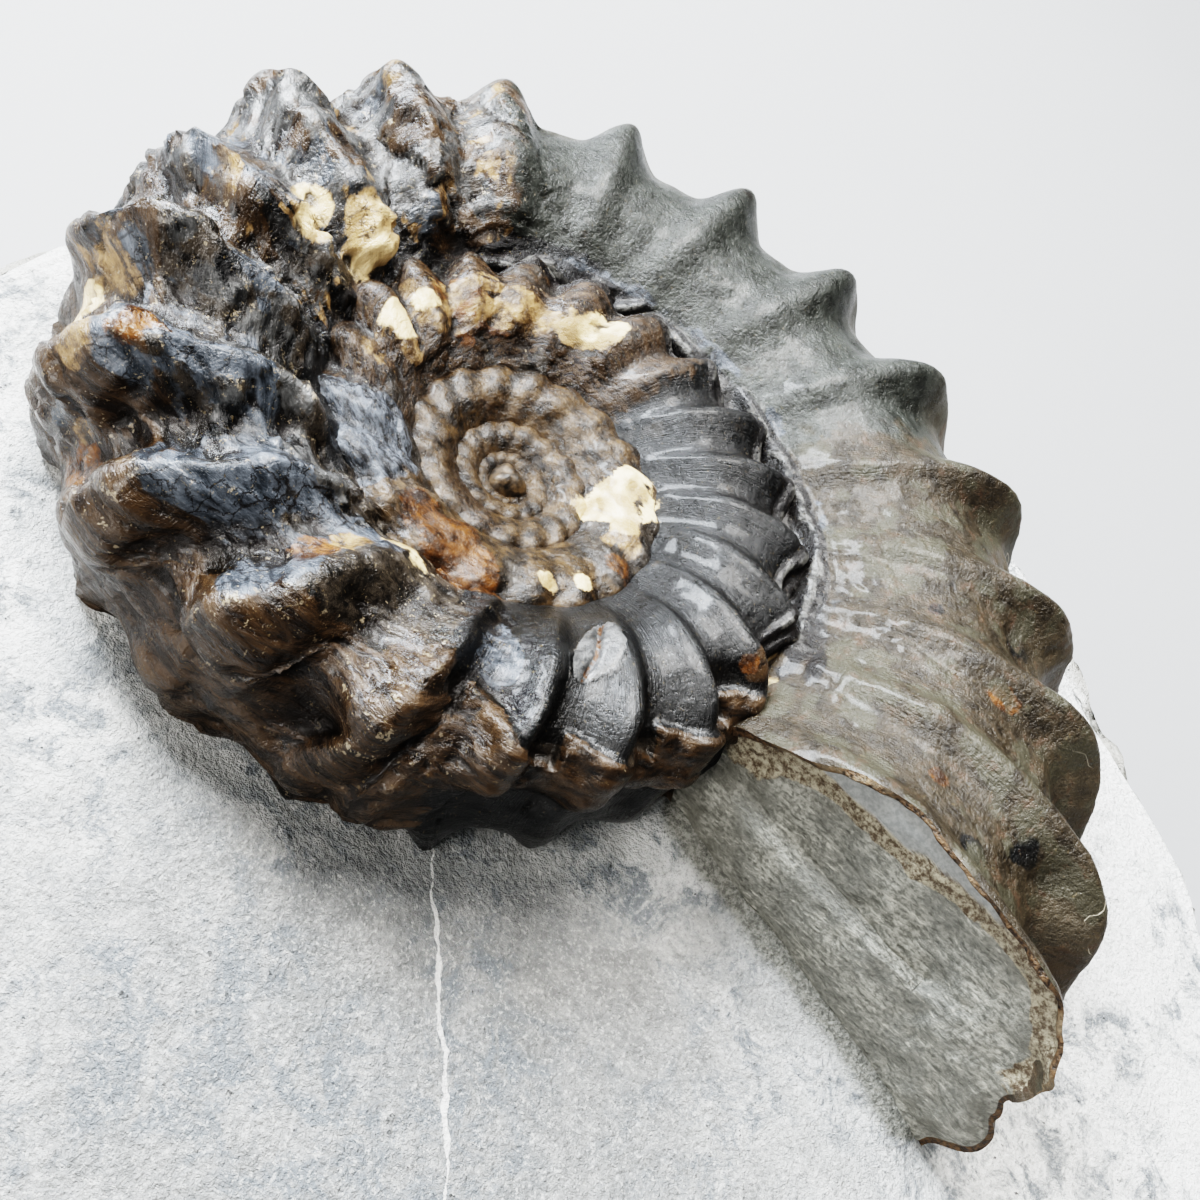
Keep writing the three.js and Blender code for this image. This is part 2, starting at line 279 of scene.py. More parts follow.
def near(points, turn, s):
    """Distance in millimetres from a place on the shell."""
    centre = plain_shell(np.array([float(turn)]), np.array([float(s)]))[0]
    return np.linalg.norm(points - centre, axis=-1)


# Single lumps and hollows: winding angle, s, radius and height in millimetres.
LUMPS = [
    (247, 0.12, 3.4, 1.5), (268, 0.17, 3.7, 2.1), (288, 0.07, 3.7, 1.9), (228, 0.2, 3.2, 1.3),
    (208, 0.3, 3.4, -0.7), (189, 0.28, 3.4, -0.6), (258, 0.1, 2.4, -1.8), (277.5, 0.12, 2.2, -2.8),
    (299, 0.06, 2.2, -1.5), (238, 0.18, 2.4, -1.3), (219, 0.22, 2.2, -1.0), (312, 0.08, 2.0, -1.0),
    (328, 0.06, 2.0, -0.9), (196, 0.22, 3.0, -0.7), (174, 0.67, 2.4, 1.1), (238, 0.38, 2.2, -0.9),
    (257, 0.36, 2.6, -0.8), (219, 0.42, 1.8, -0.7), (346, 0.33, 1.2, -0.8), (352, 0.4, 0.9, 0.25),
    (198, 0.52, 1.8, -0.6), (277, 0.4, 2.2, -0.5), (21, 0.38, 2.0, -0.4), (-3, 0.34, 1.8, -0.4),
    (-10, 0.22, 1.8, 0.4), (7, 0.3, 2.4, 0.4), (24, 0.27, 2.0, 0.4), (38, 0.27, 1.8, 0.3),
    (500, 0.45, 1.3, 0.4), (540, 0.42, 1.2, 0.4), (590, 0.42, 1.3, 0.3), (735, 0.5, 1.1, 0.25),
    (756, 0.6, 1.2, 0.25), (-16, -0.1, 3.0, 1.2), (-16, 0.03, 2.8, 1.7), (-16, 0.27, 2.2, -0.8),
]


def weathered(turn):
    """How rough and corroded the surface is, round the coil."""
    outer = window(turn, 150, 283, 35)
    inner = 0.6 * window(turn, 460, 620, 20)
    mouth = 0.2 * window(turn, -20, 30, 20)
    return np.clip(0.06 + outer + inner + mouth, 0, 1)


def warped(points, reach, seed):
    """The same points pushed about, for ragged outlines."""
    push = np.stack([lumps(points, 2.2, seed + n) for n in range(3)], -1)
    return points + reach * push


def lengthwise(turn, s):
    """Places on the shell, squeezed along the coil, so that noise on them runs along it."""
    return np.stack([np.radians(turn) * 12, s * 26, 0 * s], -1)


def flakes(points, size, level, seed):
    """1 where a thin layer of shell is still in place, 0 where it has flaked off."""
    patches = fractal(warped(points, 0.8, seed), size, seed + 5, 3)
    return smooth(level - 0.05, level + 0.05, patches)


def rim_plates(turn, points):
    """s of the broken edge of the brown layer, peaked just past each furrow."""
    share = (rib_index(turn) + 0.42) % 1.0
    return 0.335 - 0.11 * share + 0.02 * lumps(points, 1.6, 71) + 0.05 * window(turn, 286, 300, 6)


def seam_crust(turn, s):
    """Share of the wrinkled crust along the seam between the last two whorls."""
    outer = window(turn, 8, 132, 14) * window(s, 0.77, 0.85, 0.025)
    inner = window(turn, 368, 490, 14) * window(s, 0.2, 0.34, 0.05)
    return np.maximum(outer, inner)


def crust_folds(s, points):
    """The wrinkles of that crust, from -1 to 1; they run along the seam."""
    return np.cos(2 * np.pi * (s * 13 + 1.0 * lumps(points, 5, 6) + 0.15 * lumps(points, 1.3, 16)))


def layering(turn, s, points):
    """The upper flakes, the lower flakes and the brown plates, each from 0 to 1."""
    upper = flakes(points, 6.5, 0.05, 81)
    lower = flakes(lengthwise(turn, s), 2.2, 0.0, 91)
    edge = rim_plates(turn, points)
    plates = smooth(-0.008, 0.008, edge - s) * smooth(0.1, 0.15, s + 0.03 * lumps(points, 2, 8))
    return upper, lower, plates * window(turn, 292, 349, 4)


def healed_crack(turn, s, points):
    """A lens of pale shell on one black rib, and the reddish crack that runs along it."""
    line = (turn - 317.5) - 50 * (s - 0.53) + 0.8 * lumps(points, 1.5, 11)
    within = window(s, 0.46, 0.62, 0.01)
    lens = 5.2 * np.clip(1 - ((s - 0.54) / 0.1) ** 2, 0, 1) + 0.8 * lumps(points, 1.2, 14)
    return smooth(-0.3, 0.3, lens - np.abs(line)) * within, np.exp(-((line / 0.6) ** 2)) * within


def relief(turn, s, points, layers):
    """Height of the damage over the plain shell, in millimetres."""
    scale = np.clip(coil_radius(turn) / 30, 0.15, 1)
    rough = weathered(turn)
    upper, lower, plates = layers
    flat = lengthwise(turn, s)
    high = rough * (0.28 * fractal(points, 5, 1) + 0.22 * creased(flat, 2.6, 2) - 0.4)
    high = high + rough * (0.4 * upper + 0.3 * lower + 0.08 * creased(flat, 0.9, 3))
    high = high + 0.1 * fractal(points, 3.4, 4) + 0.02 * lumps(points, 0.9, 5)
    high = high + smooth(590, 640, turn) * 0.4 * fractal(points, 1.8, 13)
    crust = seam_crust(turn, s)
    high = high + crust * (0.15 + 0.26 * crust_folds(s, points) + 0.1 * creased(points, 1.6, 7))
    high = high * scale + plates * (0.65 + 0.25 * lumps(points, 0.8, 9))
    for at_turn, at_s, radius, height in LUMPS:
        lump = height * np.exp(-((near(points, at_turn, at_s) / radius) ** 2))
        high = high + lump * (1 + 0.3 * lumps(points, 1.3, 10))
    plate, crack = healed_crack(turn, s, points)
    return high + 0.16 * plate - 0.3 * crack - rim_chips(turn, s)


def mouth_break(s):
    """Degrees that the broken edge of the mouth lies back from the plane of the mouth."""
    ragged = 0.35 * np.sin(23 * s) * window(s, 0.3, 0.9, 0.1) + 0.12 * np.sin(61 * s)
    return ragged + 1.5 * np.exp(-(((s - 0.54) / 0.12) ** 2))


# Chips out of the rim of the mouth: s, depth in millimetres, width in s.
RIM_CHIPS = [
    (0.17, 0.5, 0.02), (0.06, 0.2, 0.022), (-0.08, 0.2, 0.03), (-0.19, 0.2, 0.04),
    (0.33, 0.4, 0.02),
]


def rim_chips(turn, s):
    """Depth in millimetres of the chips out of the rim, fading away behind it."""
    depth = 0
    for at, deep, wide in RIM_CHIPS:
        depth = depth + deep * np.exp(-(((s - at) / wide) ** 2))
    return depth * np.exp(-(turn - MOUTH) / 2.2)


def shell_rings():
    """Winding angles of the rings, close together where the whorl is wide."""
    turns = [MOUTH]
    while turns[-1] < COIL_END:
        fine = 0.35 if turns[-1] < OLDER_WHORLS else 0.3
        turns.append(turns[-1] + min(math.degrees(fine / float(coil_radius(turns[-1]))), 2.0))
    return np.array(turns)


def shell_grid():
    """Every point of the coil, with its winding angle, s, layers and normal.

    The side that is down in the rock has few points.
    """
    stations = np.concatenate([np.linspace(-1, -0.3, 9)[:-1], np.linspace(-0.3, 1, 121)[:-1]])
    turns = shell_rings()
    turn, s = np.meshgrid(turns, stations, indexing="ij")
    turn = turn + mouth_break(s) * np.exp(-(turn - MOUTH) / 2.5)
    plain = plain_shell(turn, s)
    plain = plain_shell(turn + 0.8 * lumps(plain, 7, 12) * weathered(turn), s)
    outward = grid_normals(plain)
    layers = layering(turn, s, plain)
    points = plain + outward * relief(turn, s, plain, layers)[..., None]
    points[..., 2] = np.maximum(points[..., 2], ROCK_LEVEL - BURIED)
    return turn, s, layers, points, grid_normals(points)


# --- Colour zones of the shell ---

# Broad zones: first and last winding angle, lowest and highest s, softness
# in degrees and in s, strength.
BROAD_ZONES = {
    "olive": [(-20, 46, 0.1, 1, 14, 0.1, 1)],
    "slate": [(54, 130, 0.1, 1, 14, 0.1, 1), (440, 470, 0.2, 1, 14, 0.1, 0.5)],
    "silver": [(136, 200, 0.1, 0.75, 14, 0.1, 0.7), (200, 262, 0.45, 0.62, 14, 0.1, 0.6)],
    "brown": [
        (138, 200, 0.05, 0.75, 10, 0.1, 0.42), (200, 292, -1, 0.34, 8, 0.08, 0.95),
        (-20, 120, -1, 0.2, 8, 0.1, 0.6), (440, 570, 0.3, 0.8, 10, 0.1, 0.8),
        (830, 1010, 0.2, 0.8, 20, 0.1, 0.45),
    ],
    "blue": [
        (150, 204, 0.25, 0.7, 10, 0.1, 0.4), (204, 262, 0.32, 0.55, 6, 0.1, 0.85),
        (574, 606, 0.3, 0.7, 6, 0.06, 1), (20, 128, 0.74, 0.86, 10, 0.03, 0.38),
    ],
    "gold": [
        (140, 204, 0.1, 0.72, 10, 0.1, 0.2), (204, 213, 0.2, 0.3, 3, 0.04, 0.36),
        (500, 560, 0.45, 0.62, 6, 0.08, 0.5),
    ],
    # Three black areas are painted shade in the deep seams between the whorls: from 112 to 240
    # degrees near the inner edge, and on the older whorls near both edges.
    "black": [
        (138, 270, 0.1, 0.75, 10, 0.1, 0.3), (290, 352, 0.3, 1, 5, 0.03, 1),
        (250, 352, -1, 0.12, 10, 0.04, 0.9), (352, 440, 0.2, 1, 8, 0.1, 0.9),
        (-20, 250, -1, 0.0, 10, 0.08, 0.8), (112, 240, 0.74, 1, 10, 0.05, 0.85),
        (360, 2100, -1, 0.24, 10, 0.08, 0.8), (440, 2100, 0.86, 1, 10, 0.06, 0.8),
    ],
    "tan": [(604, 700, 0.2, 1, 10, 0.1, 0.8), (764, 2100, -1, 1, 20, 0.1, 0.9)],
}
# Spots: winding angle, s, radius in millimetres.
SPOTS = {
    "cream": [
        (174, 0.67, 2.3), (182, 0.55, 1.6), (188, 0.6, 1.2), (271, 0.66, 1.1), (468, 0.55, 1.6),
        (461, 0.5, 1.2), (527, 0.5, 1.0), (542, 0.5, 1.1), (674, 0.47, 0.7), (690, 0.44, 0.8),
        (745, 0.6, 2.0), (200, 0.2, 1.0), (760, 0.5, 1.7), (730, 0.52, 1.3), (212, 0.12, 1.3),
        (219, 0.1, 1.0), (0, 0.9, 0.7), (-2, 0.86, 0.8), (2, 0.84, 0.6),
    ],
    "gold": [
        (202, 0.36, 1.2), (226, 0.26, 1.2), (231, 0.12, 1.0), (264, 0.53, 1.0), (487, 0.55, 1.4),
        (498, 0.6, 1.2), (530, 0.42, 0.9), (545, 0.6, 1.0), (166, 0.26, 0.9), (724, 0.5, 1.0),
        (210, 0.2, 1.2),
    ],
    "brown": [
        (248, 0.28, 1.6), (353, 0.36, 1.1), (32.2, 0.2, 1.6), (48.7, 0.22, 1.8), (65.3, 0.2, 1.7),
        (82.2, 0.18, 1.3), (99.3, 0.2, 1.5), (116.6, 0.2, 1.1), (134.2, 0.25, 1.8),
        (152, 0.3, 2.0), (170, 0.5, 1.8), (150, 0.45, 1.2), (132, 0.4, 1.1), (256, 0.36, 2.6),
        (284, 0.4, 2.2), (290, 0.3, 2.4), (190, 0.3, 1.4),
    ],
    "amber": [
        (512, 0.6, 1.7), (520, 0.5, 1.5), (636, 0.5, 2.0), (650, 0.42, 1.8), (622, 0.5, 1.4),
        (351, 0.38, 0.6), (-6, 0.53, 0.7), (226, 0.36, 1.4), (262, 0.45, 1.3), (710, 0.44, 1.0),
        (11, 0.46, 1.0), (234, 0.08, 1.4),
    ],
    "blue": [(264, 0.6, 1.5), (228, 0.1, 1.6), (296, 0.5, 1.6)],
    "black": [
        (238, 0.3, 1.8), (252, 0.3, 2.2), (275, 0.14, 2.4), (192, 0.5, 1.5), (346, 0.34, 1.0),
        (210, 0.5, 1.2), (22, 0.38, 1.3), (-4, 0.38, 1.0), (-10, 0.46, 0.7), (20, 0.56, 0.5),
    ],
}
# The zones are kept in the mesh in three layers of four.
ZONE_SETS = {
    "zones_a": ("olive", "slate", "black", "brown"),
    "zones_b": ("gold", "cream", "blue", "amber"),
    "zones_c": ("tan", "silver", "seam", "crust"),
}
# Steps round the section by which the frayed borders of a zone are shifted.
SHIFTS = {"gold": 333, "blue": 148}


def frayed_zones(turn, s, points):
    """The broad zones and the spots, with frayed borders."""
    found = {name: np.zeros(turn.shape) for names in ZONE_SETS.values() for name in names}
    for name, areas in BROAD_ZONES.items():
        for start, end, low, high, soft, soft_s, strength in areas:
            share = window(turn, start, end, soft) * window(s, low, high, soft_s) * strength
            found[name] = np.maximum(found[name], share)
    for name, spots in SPOTS.items():
        for at_turn, at_s, radius in spots:
            distance = near(points, at_turn, at_s)
            found[name] = np.maximum(found[name], np.clip(1.2 - 0.7 * distance / radius, 0, 1))
    frayed = 0.42 * fractal(warped(points, 1.0, 61), 2.2, 62, 4)
    for name, share in found.items():
        found[name] = share + np.roll(frayed, SHIFTS.get(name, 0), 1) * (share > 0.02)
    return found


def zones(turn, s, points, layers):
    """Strength of each colour zone at each point; the border is at one half."""
    found = frayed_zones(turn, s, points)
    upper, _, plates = layers
    rough = weathered(turn)
    found["blue"] = found["blue"] - 0.35 * upper * rough
    found["brown"] = np.maximum(found["brown"] + 0.2 * (upper - 0.5) * rough, plates)
    plate, crack = healed_crack(turn, s, points)
    found["silver"] = np.maximum(found["silver"], plate)
    found["black"] = found["black"] * (1 - plate)
    found["amber"] = np.maximum(found["amber"], 0.9 * crack)
    found["crust"] = seam_crust(turn, s) * (0.6 + 0.4 * crust_folds(s, points))
    # The seam zone is painted shade along both sides of each seam between the whorls; the shell's
    # material darkens it.
    inner_seam_shade = smooth(OLDER_WHORLS, OLDER_WHORLS + 10, turn) * (1 - smooth(0.2, 0.34, s))
    found["seam"] = np.maximum(smooth(0.8, 0.95, s), inner_seam_shade)
    return found


# --- Making meshes ---

AMMONITE_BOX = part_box("ammonite")
MATRIX_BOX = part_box("matrix")


def coil_origin():
    """Where the coil axis meets the middle plane, in the row frame, in metres."""
    turn, s = np.meshgrid(RIBS[2:26], np.linspace(0, 0.5, 51), indexing="ij")
    points = plain_shell(turn, s)
    low, high = points.reshape(-1, 3).min(0), points.reshape(-1, 3).max(0)
    centre = (AMMONITE_BOX[0] + AMMONITE_BOX[1]) / 2
    x = centre.x - (low[0] + high[0]) / 2 * MM
    y = centre.y - (low[1] + high[1]) / 2 * MM
    z = MATRIX_BOX[0].z + (BLOCK_DEPTH - ROCK_LEVEL) * MM
    return Vector((x, y, z))


ORIGIN = coil_origin()


def grid_faces(rings, around, caps=()):
    """The faces between closed rings of points, and one over the first or last ring."""
    here = np.arange(rings - 1)[:, None] * around
    below = here + around
    j = np.arange(around)[None, :]
    k = (j + 1) % around
    faces = np.stack([here + j, below + j, below + k, here + k], -1).reshape(-1, 4).tolist()
    if "first" in caps:
        faces.append(list(range(around)))
    if "last" in caps:
        faces.append(list(range((rings - 1) * around, rings * around))[::-1])
    return faces


def make_mesh(name, points, faces, attributes, normals=None):
    """A mesh object in the row frame from points in the coil's frame."""
    mesh = bpy.data.meshes.new(name)
    placed = points.reshape(-1, 3) * MM + np.array(ORIGIN)
    mesh.from_pydata(placed.tolist(), [], faces)
    mesh.update()
    mesh.polygons.foreach_set("use_smooth", [True] * len(mesh.polygons))
    for key, values in attributes.items():
        layer = mesh.attributes.new(key, "FLOAT_COLOR", "POINT")
        layer.data.foreach_set("color", values.reshape(-1, 4).astype(np.float32).ravel())
    if normals is not None:
        mesh.normals_split_custom_set_from_vertices(normals.reshape(-1, 3).tolist())
    piece = bpy.data.objects.new(name, mesh)
    bpy.context.scene.collection.objects.link(piece)
    return piece


def shell_attributes(turn, s, layers, points, normals):
    """The numbers that the shell's material reads, four to a layer."""
    zone = zones(turn, s, points, layers)
    found = {}
    for key, names in ZONE_SETS.items():
        found[key] = np.stack([zone[name] for name in names], -1)
    growth = (turn - lean(turn, s)) / 100
    found["coil"] = np.stack([growth, s, weathered(turn), coil_radius(turn) / COIL_RADIUS], -1)
    mottle = [0.5 + 0.4 * fractal(points, size, seed) for size, seed in ((1.6, 21), (5, 22))]
    edges = [0.5 + 0.5 * bulging(points, normals, reach) for reach in (2, 7)]
    found["mottle"] = np.stack([*mottle, *edges], -1)
    return found


def make_shell():
    """The coil in two pieces that share one ring, the outer and the inner whorls."""
    turn, s, layers, points, normals = shell_grid()
    attributes = shell_attributes(turn, s, layers, points, normals)
    parting = int(np.searchsorted(turn[:, -1], PARTING))
    made = []
    for name, start, end, caps in [
        ("shell_outer_whorls", 0, parting + 1, ()),
        ("shell_inner_whorls", parting, len(turn), ("last",)),
    ]:
        part = slice(start, end)
        rings, around = end - start, turn.shape[1]
        cut = {key: value[part] for key, value in attributes.items()}
        faces = grid_faces(rings, around, caps)
        made.append(make_mesh(name, points[part], faces, cut, normals[part]))
    return made, points[0], s[0]


def make_first_chamber():
    """The tiny swollen chamber the coil starts from."""
    size = float(coil_radius(COIL_END))
    across, down = np.meshgrid(np.radians(np.arange(0, 360, 10)), np.radians(np.arange(6, 175, 8)))
    flat = np.sin(down)
    way = np.stack([flat * np.cos(across), flat * np.sin(across), np.cos(down)], -1)
    points = way * (size * (0.95 + 0.12 * np.sin(3 * across + 1) * np.sin(down)))[..., None]
    points = points + 0.06 * lumps(points, 0.5, 51)[..., None] * way
    faces = grid_faces(*across.shape, ("first", "last"))
    layers = {key: np.zeros((*across.shape, 4)) for key in (*ZONE_SETS, "coil", "mottle")}
    layers["zones_c"][..., 0] = 1
    layers["mottle"][...] = 0.5
    return make_mesh("first_chamber", points, [face[::-1] for face in faces], layers)


def mouth_disc(rim):
    """Rings from the middle of the mouth out to its rim, flat but for the outermost ones."""
    shares = [np.linspace(0.02, 0.9, 60), np.linspace(0.912, 0.95, 5), np.linspace(0.955, 1, 7)]
    angle = math.radians(MOUTH)
    radial = np.array([math.cos(angle), math.sin(angle), 0])
    outward = np.array([math.sin(angle), -math.cos(angle), 0])
    centre = rim.mean(0) + radial * 2
    share = np.concatenate(shares)[:, None] + np.zeros(len(rim))[None, :]
    points = centre + (rim[None] - centre) * share[..., None]
    back = (points - centre) @ outward
    points = points - back[..., None] * outward * (1 - smooth(0.8, 1.0, share))[..., None]
    return points, share, outward


def make_mouth(rim, stations):
    """The stone that fills the mouth, with the broken edge of the shell round it."""
    points, share, outward = mouth_disc(rim)
    grain = 0.22 * fractal(points, 3.5, 31) + 0.1 * lumps(points, 0.9, 32)
    wall = smooth(0.945, 0.965, share + 0.008 * lumps(points, 1.5, 33))
    step = -0.45 + wall * (0.45 + 0.25 * lumps(points, 1.0, 34))
    hollow = -0.5 * (1 - share**2)
    fade = 1 - smooth(0.97, 1.0, share)
    upper = np.clip(stations, 0, 1)[None, :] + 0 * share
    sunken = (step + hollow) * (smooth(0.15, 0.4, upper) - 0.2)
    points = points + ((grain + sunken) * fade)[..., None] * outward
    faces = grid_faces(*share.shape, ("first",))
    inner_edge = 0.72 + 1.4 * np.abs(upper - 0.57) + 0.02 * lumps(points, 1.5, 35)
    crescent = smooth(-0.01, 0.01, share - inner_edge) * window(upper, 0.45, 0.72, 0.02)
    crumbs = window(share, np.minimum(inner_edge, 0.93) - 0.13, 0.97, 0.06)
    crumbs = crumbs * window(upper, 0.2, 0.9, 0.1)
    layer = np.stack([wall, crumbs, smooth(0.5, 1, share), crescent * (1 - wall)], -1)
    return make_mesh("mouth_stone", points, faces, {"mouth": layer})


# --- The block ---

def chip(a, k):
    """An uneven wave round the block, different for each k."""
    return 0.5 * np.sin(7 * a + k) + 0.35 * np.sin(13 * a + 2.1 * k) + 0.2 * np.sin(29 * a + k * k)


def rock_top(x, y):
    """Height of the top of the block: low swells, and a dip in front of the mouth."""
    swell = 0.5 * np.sin(x / 17 + 0.6) * np.cos(y / 15) + 0.25 * np.sin((x + 1.7 * y) / 9)
    dip = 2.2 * np.exp(-((x - 21) ** 2 + (y + 13) ** 2) / 130)
    fall = 0.0016 * np.maximum(0, -x - y - 20) ** 2
    return ROCK_LEVEL + swell - dip - fall


def block_plan(share, height, bulge):
    """The rings of the block seen from above, straight from corner to corner."""
    cx, cy = BLOCK_CENTRE
    reach = np.hypot(CORNERS[:, 0] - cx, CORNERS[:, 1] - cy)
    swelling = bulge * (0.6 + chip(np.arange(len(CORNERS)), 1))
    out = (share * reach - CORNERS[:, 2] * height + swelling) / reach
    t = np.arange(CORNER_STEPS) / CORNER_STEPS
    plan = []
    for axis, centre in enumerate(BLOCK_CENTRE):
        corner = (centre + (CORNERS[:, axis] - centre) * out)[..., None]
        ring = corner * (1 - t) + np.roll(corner, -1, 1) * t
        plan.append(ring.reshape(len(share), -1))
    return plan


def block_grid():
    """Rings round the block from the middle of its top, down its sides, to its underside."""
    last = len(BLOCK_RINGS) - 1
    top = np.linspace(-1, 3, TOP_STEPS, endpoint=False)
    ring = np.concatenate([top, np.linspace(3, last, SIDE_STEPS)])
    table = np.vstack([[0.004, 0, 0, 0], BLOCK_RINGS])
    columns = [np.interp(ring, np.arange(-1, last + 1), column)[:, None] for column in table.T]
    share, height, bulge, chipping = columns
    ring = ring[:, None]
    px, py = block_plan(share, height, bulge)
    cx, cy = BLOCK_CENTRE
    a = np.arctan2(py - cy, px - cx)
    push = 1 + chipping * (chip(a, 1.7 * ring) - 1) / np.maximum(np.hypot(px - cx, py - cy), 1)
    x = cx + (px - cx) * push
    y = cy + (py - cy) * push
    uneven = 0.04 * chipping * chip(0.6 * a, 2 * ring) * (height < 1)
    crown = rock_top(x, y)
    z = crown + (ROCK_LEVEL - BLOCK_DEPTH - crown) * np.clip(height + uneven, 0, 1)
    side = smooth(2.9, 3.8, ring) * (1 - smooth(last - 0.6, last, ring)) + 0 * a
    return np.stack([x, y, z], -1), side


def before_mouth(x, y):
    """Distance in front of the plane of the mouth, and 1 within the mouth's width."""
    angle = math.radians(MOUTH)
    before = x * math.sin(angle) - y * math.cos(angle)
    out = x * math.cos(angle) + y * math.sin(angle)
    radius = float(coil_radius(MOUTH))
    return before, window(out, 0.5 * radius, 0.97 * radius, 2.5)


def shell_outside(x, y):
    """Distance outside the outer edge of the last whorl; negative under the shell."""
    turn = np.degrees(np.arctan2(y, x))
    turn = np.where(turn < MOUTH, turn + 360, turn)
    return np.hypot(x, y) - coil_radius(turn)


def make_block():
    """The block, with a furrow beside the shell and a strip of stone before the mouth."""
    points, side = block_grid()
    outward = grid_normals(points)
    outward *= np.sign(outward[5, 5, 2])
    top = 1 - side
    x, y = points[..., 0], points[..., 1]
    pits = 0.06 * lumps(points, 1.3, 42) + 0.05 * lumps(points, 0.7, 43)
    high = top * (0.1 * fractal(points, 6, 41) + pits)
    beside = shell_outside(x, y)
    furrow = 0.35 * np.exp(-((beside / 1.6) ** 2)) * (0.6 + 0.6 * lumps(points, 1.8, 44))
    before, within = before_mouth(x, y)
    strip = within * np.exp(-np.clip(before, 0, 30) / (1.3 + 0.5 * lumps(points, 3, 48)))
    strip = strip * (before > -1.5)
    high = high - top * furrow + top * strip * 1.1
    broken = 0.9 * fractal(points, 9, 45) + 0.5 * creased(points, 4.5, 46)
    broken = broken + 0.22 * creased(points, 1.9, 47)
    high = high + side * (broken - 0.4)
    points = points + outward * high[..., None]
    base = ROCK_LEVEL - BLOCK_DEPTH
    points[..., 2] = np.maximum(points[..., 2], base)
    points[-1, :, 2] = base
    faces = grid_faces(*side.shape, ("first", "last"))
    beside = np.where(beside < 0, 1, np.clip(beside / 10, 0, 1))
    layer = np.stack([side, beside, np.clip(strip * top, 0, 1), side * 0], -1)
    return make_mesh("limestone_block", points, faces, {"rock": layer})


# --- Materials ---

class Nodes:
    """Small helper that builds a node material; its lengths are millimetres."""

    def __init__(self, name):
        self.material = bpy.data.materials.new(name)
        self.material.use_nodes = True
        self.tree = self.material.node_tree
        self.shader = self.tree.nodes["Principled BSDF"]
        self.place = self.add("ShaderNodeTexCoord").outputs["Object"]

    def feed(self, socket, value):
        """Links the socket to another one, or sets its value."""
        if isinstance(value, bpy.types.NodeSocket):
            self.tree.links.new(value, socket)
        elif isinstance(value, tuple) and len(value) == 3 and socket.type == "RGBA":
            socket.default_value = (*value, 1)
        else:
            socket.default_value = value

    def add(self, kind, inputs=None, **settings):
        node = self.tree.nodes.new(kind)
        for key, value in settings.items():
            setattr(node, key, value)
        for key, value in (inputs or {}).items():
            self.feed(node.inputs[key], value)
        return node

    def noise(self, size, detail=3.0, rough=0.55, twist=0.0, place=None):
        """Noise from 0 to 1 with grains of about the given size."""
        inputs = {"Vector": place or self.place, "Scale": 1 / (size * MM)}
        inputs.update(Detail=detail, Roughness=rough, Distortion=twist)
        return self.add("ShaderNodeTexNoise", inputs).outputs[0]

    def cracks(self, size, place):
        """Distance from a net of cracks, as a share of the size of its cells."""
        inputs = {"Vector": place, "Scale": 1 / (size * MM)}
        net = self.add("ShaderNodeTexVoronoi", inputs, feature="DISTANCE_TO_EDGE")
        return net.outputs["Distance"]

    def math(self, kind, a, b=0.0):
        return self.add("ShaderNodeMath", {0: a, 1: b}, operation=kind).outputs[0]

    def plus(self, a, b):
        return self.math("ADD", a, b)

    def minus(self, a, b):
        return self.math("SUBTRACT", a, b)

    def times(self, a, b):
        return self.math("MULTIPLY", a, b)

    def larger(self, a, b):
        return self.math("MAXIMUM", a, b)

    def spread(self, noise, reach, middle=0.5):
        """Noise turned into a push either way."""
        return self.times(self.minus(noise, middle), reach)

    def vector(self, kind, a, b):
        return self.add("ShaderNodeVectorMath", {0: a, 1: b}, operation=kind).outputs

    def at(self, x, y):
        """A place made of two numbers."""
        return self.add("ShaderNodeCombineXYZ", {0: x, 1: y, 2: 0.0}).outputs[0]

    def mapping(self, place, **settings):
        return self.add("ShaderNodeMapping", {"Vector": place, **settings}).outputs[0]

    def ramp(self, value, low, high, start=0.0, end=1.0):
        """Runs softly from start to end while the value runs from low to high."""
        inputs = {"Value": value, "From Min": low, "From Max": high, "To Min": start, "To Max": end}
        return self.add("ShaderNodeMapRange", inputs, interpolation_type="SMOOTHSTEP").outputs[0]

    def mix(self, share, a, b):
        node = self.add("ShaderNodeMix", data_type="RGBA", blend_type="MIX")
        for socket, value in zip((0, 6, 7), (share, a, b)):
            self.feed(node.inputs[socket], value)
        return node.outputs[2]

    def tinted(self, colour, tints):
        """The colour with tints laid over it one after another, each with its share."""
        for share, tint in tints:
            colour = self.mix(share, colour, tint)
        return colour

    def layer(self, name):
        """The four numbers of a mesh attribute."""
        node = self.add("ShaderNodeAttribute", attribute_name=name)
        parts = self.add("ShaderNodeSeparateColor", {0: node.outputs["Color"]})
        return [parts.outputs[0], parts.outputs[1], parts.outputs[2], node.outputs["Alpha"]]

    def bump(self, height, depth):
        """Bump of the given depth where height runs from 0 to 1."""
        inputs = {"Height": height, "Distance": depth * MM, "Strength": 1.0}
        return self.add("ShaderNodeBump", inputs).outputs[0]

    def finish(self, colour, roughness, normal, **settings):
        self.feed(self.shader.inputs["Base Color"], colour)
        self.feed(self.shader.inputs["Roughness"], roughness)
        self.feed(self.shader.inputs["Normal"], normal)
        for key, value in settings.items():
            self.shader.inputs[key.replace("_", " ")].default_value = value
        return self.material


BARE_SHELL = ((0.006, 0.005, 0.004), (0.055, 0.045, 0.035))
